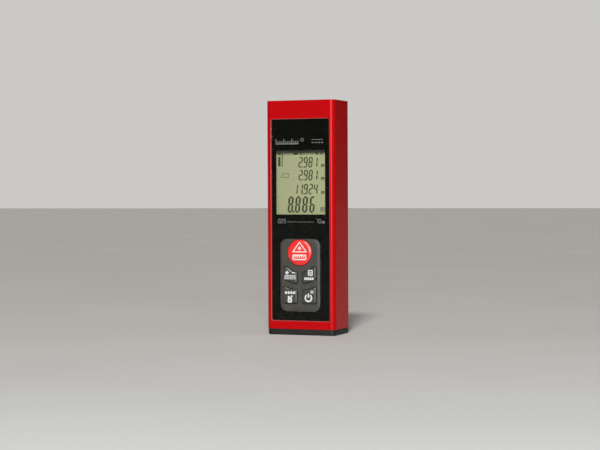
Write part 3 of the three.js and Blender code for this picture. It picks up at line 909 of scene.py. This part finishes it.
def repaint_frame():
    """Gives each CAD node that no new piece replaces a finish."""
    finishes = {
        "chassis": BLACK, "front_frame": BLACK, "optics_block": BLACK,
        "lcd_front_glass": DISPLAY, "lcd_rear_glass": DISPLAY, "lcd_diffuser": WHITE,
        "lcd_connector": RUBBER, "main_board": BOARD, "detector_board": BOARD,
        "main_chip": RESIN, "sounder": BRASS, "laser_barrel": BRASS, "laser_diode": STEEL,
        "detector": STEEL, "collimator_lens": LENS, "contact_bridge": STEEL,
        "contact_positive": STEEL, "contact_negative": STEEL,
    }
    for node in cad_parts:
        if node.startswith(("board_screw", "dome_")):
            finishes[node] = STEEL
    for node, material in finishes.items():
        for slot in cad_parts[node].material_slots:
            slot.link = "OBJECT"
            slot.material = material


# --- Stage ----------------------------------------------------------------------------------


def make_stage():
    mesh = bmesh.new()
    reach = 6.0
    mesh.faces.new([mesh.verts.new((x, y, 0)) for x, y in rectangle(-reach, -reach, reach, reach)])
    data = bpy.data.meshes.new("floor")
    mesh.to_mesh(data)
    mesh.free()
    floor = bpy.data.objects.new("floor", data)
    bpy.context.scene.collection.objects.link(floor)
    data.materials.append(FLOOR)


def direction(azimuth, elevation=0):
    """A direction in degrees; azimuth runs from the front (-Y) towards +X."""
    turn, rise = math.radians(azimuth), math.radians(elevation)
    return Vector((math.sin(turn) * math.cos(rise), -math.cos(turn) * math.cos(rise), math.sin(rise)))


def area_light(name, azimuth, elevation, distance, size, power, colour):
    """A softbox aimed at the meter; distance and size in metres, power in watts."""
    aim = Vector((0, 0, 0.06))
    way = direction(azimuth, elevation)
    data = bpy.data.lights.new(name, "AREA")
    data.shape = "RECTANGLE"
    data.size, data.size_y = size
    data.energy = power
    data.color = colour
    light = bpy.data.objects.new(name, data)
    light.location = aim + way * distance
    light.rotation_euler = (-way).to_track_quat("-Z", "Y").to_euler()
    bpy.context.scene.collection.objects.link(light)


def lobe(tree, axis, inner, outer):
    """1 inside a cone about a direction, falling to 0 at its outer edge; the edges are in degrees."""
    place = tree.nodes.new("ShaderNodeTexCoord")
    along = tree.nodes.new("ShaderNodeVectorMath")
    along.operation = "DOT_PRODUCT"
    along.inputs[1].default_value = axis
    fade = tree.nodes.new("ShaderNodeMapRange")
    fade.interpolation_type = "SMOOTHSTEP"
    fade.inputs["From Min"].default_value = math.cos(math.radians(outer))
    fade.inputs["From Max"].default_value = math.cos(math.radians(inner))
    tree.links.new(place.outputs["Generated"], along.inputs[0])
    tree.links.new(along.outputs["Value"], fade.inputs["Value"])
    return fade.outputs["Result"]


def make_sun():
    data = bpy.data.lights.new("key", "SUN")
    data.energy = 2.6
    data.angle = math.radians(9)
    data.color = (1.0, 0.97, 0.92)
    key = bpy.data.objects.new("key", data)
    key.rotation_euler = (-direction(15, 42)).to_track_quat("-Z", "Y").to_euler()
    bpy.context.scene.collection.objects.link(key)


def make_world():
    """A dim room, darker at two sides so that the case's corners fall off; the camera sees it even."""
    room, shade, backdrop_level = 0.28, 0.03, 0.6
    world = bpy.data.worlds.new("studio")
    bpy.context.scene.world = world
    world.use_nodes = True
    tree = world.node_tree
    background = tree.nodes["Background"]
    dark = tree.nodes.new("ShaderNodeMath")
    dark.operation = "MAXIMUM"
    tree.links.new(lobe(tree, direction(145), inner=22, outer=60), dark.inputs[0])
    tree.links.new(lobe(tree, direction(-40), inner=25, outer=80), dark.inputs[1])
    level = tree.nodes.new("ShaderNodeMapRange")
    level.inputs["To Min"].default_value = room
    level.inputs["To Max"].default_value = shade
    tree.links.new(dark.outputs["Value"], level.inputs["Value"])
    rays = tree.nodes.new("ShaderNodeLightPath")
    backdrop = tree.nodes.new("ShaderNodeMix")
    backdrop.inputs["B"].default_value = backdrop_level
    tree.links.new(rays.outputs["Is Camera Ray"], backdrop.inputs["Factor"])
    tree.links.new(level.outputs["Result"], backdrop.inputs["A"])
    tree.links.new(backdrop.outputs["Result"], background.inputs["Strength"])
    background.inputs["Color"].default_value = (1.0, 0.98, 0.95, 1)


# Degrees and millimetres. The meter's middle lies this far ahead of the eye, right of it and above it.
CAMERA = {
    "yaw": 21.54,
    "pitch": 1.17,
    "roll": -0.25,
    "distance": 834.3,
    "right": 4.16,
    "up": 3.87,
    "lens": 96.88,
}


def make_camera():
    """The photograph's viewpoint: yawed to the right of the front, almost level."""
    data = bpy.data.cameras.new("camera")
    data.lens = CAMERA["lens"]
    data.sensor_width = 36
    camera = bpy.data.objects.new("camera", data)
    turn = (
        Matrix.Rotation(math.radians(CAMERA["roll"]), 3, "Y")
        @ Matrix.Rotation(math.radians(CAMERA["pitch"]), 3, "X")
        @ Matrix.Rotation(-math.radians(CAMERA["yaw"]), 3, "Z")
    )
    right, forward, up = (Vector(row) for row in turn)
    centre = Vector((0, MIDDLE, SLEEVE_HIGH[2] / 2))
    eye = centre - right * CAMERA["right"] - forward * CAMERA["distance"] - up * CAMERA["up"]
    axes = Matrix((right, up, -forward)).transposed().to_4x4()
    camera.matrix_world = Matrix.Translation(eye * MM) @ axes
    bpy.context.scene.collection.objects.link(camera)
    bpy.context.scene.camera = camera
    bpy.context.scene.view_settings.view_transform = "Standard"


make_camera()
make_stage()
make_sun()
area_light("edge_softbox", azimuth=20, elevation=10, distance=0.95, size=(0.16, 0.4), power=7.2,
           colour=(0.84, 0.92, 1.0))
make_world()
make_sleeve()
make_bottom_cap()
make_top_cap()
make_window()
make_keypad()
make_keys()
make_display()
make_window_print()
make_measure_legend()
make_side_legends()
make_door()
make_cells()
make_springs()
make_optics()
make_cap_screws()
repaint_frame()
for piece in PIECES:
    polish(piece)
